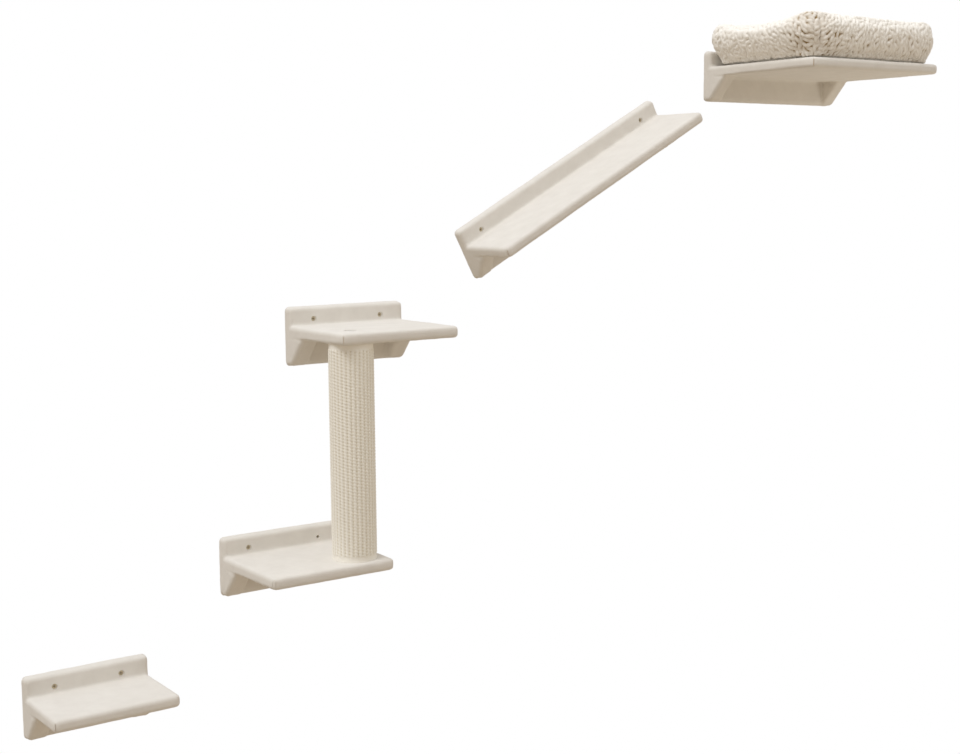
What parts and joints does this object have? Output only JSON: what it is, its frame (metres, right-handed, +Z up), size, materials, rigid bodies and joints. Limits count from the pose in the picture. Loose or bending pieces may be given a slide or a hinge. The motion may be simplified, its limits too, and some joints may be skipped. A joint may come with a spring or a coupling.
{
  "type": "wall mounted cat tree",
  "caption": "Wall mounted climbing set for cats: plush covered step, two perches joined by a ribbed scratching post, sloping ramp, and a shelf with a curly plush bed.",
  "frame": {"origin": "on the axis of the step's left wall fixing, in the plane of the wall", "axes": "+X to the right along the wall, -Y out of the wall towards the room, +Z up"},
  "size_m": [2.4075, 0.443, 1.5598],
  "materials": {
    "plush": "short velvety plush",
    "woven_wrap": "ribbed knobbly weave",
    "lambskin_plush": "curly lambskin plush",
    "wood": "raw plywood",
    "cardboard": "wound board",
    "zinc": "zinc plated",
    "screw_steel": "yellow zinc plated",
    "plug_plastic": "moulded nylon"
  },
  "bodies": {
    "root": {"step_back_board": "wood", "step_shelf_board": "wood", "step_left_bracket": "wood", "step_right_bracket": "wood", "lower_perch_back_board": "wood", "lower_perch_shelf_board": "wood", "lower_perch_left_bracket": "wood", "lower_perch_right_bracket": "wood", "upper_perch_back_board": "wood", "upper_perch_shelf_board": "wood", "upper_perch_left_bracket": "wood", "upper_perch_right_bracket": "wood", "ramp_back_board": "wood", "ramp_shelf_board": "wood", "ramp_left_bracket": "wood", "ramp_right_bracket": "wood", "bed_shelf_back_board": "wood", "bed_shelf_shelf_board": "wood", "bed_shelf_left_bracket": "wood", "bed_shelf_right_bracket": "wood", "step_cover": "plush", "lower_perch_cover": "plush", "upper_perch_cover": "plush", "ramp_cover": "plush", "bed_shelf_cover": "plush", "post_tube": "cardboard", "post_bottom_plug": "wood", "post_top_plug": "wood", "post_wrap": "woven_wrap", "post_threaded_inserts": "zinc", "post_washers": "zinc", "post_bolts": "zinc", "wall_screws": "screw_steel", "wall_plugs": "plug_plastic", "frame_screws": "screw_steel"},
    "bed": {"bed_rim": "lambskin_plush", "bed_pad": "lambskin_plush"}
  },
  "joints": [
    {"name": "bed_lift", "type": "slide", "parent": "root", "child": "bed", "axis": [0, 0, 1], "range_m": [0, 0.2]}
  ]
}
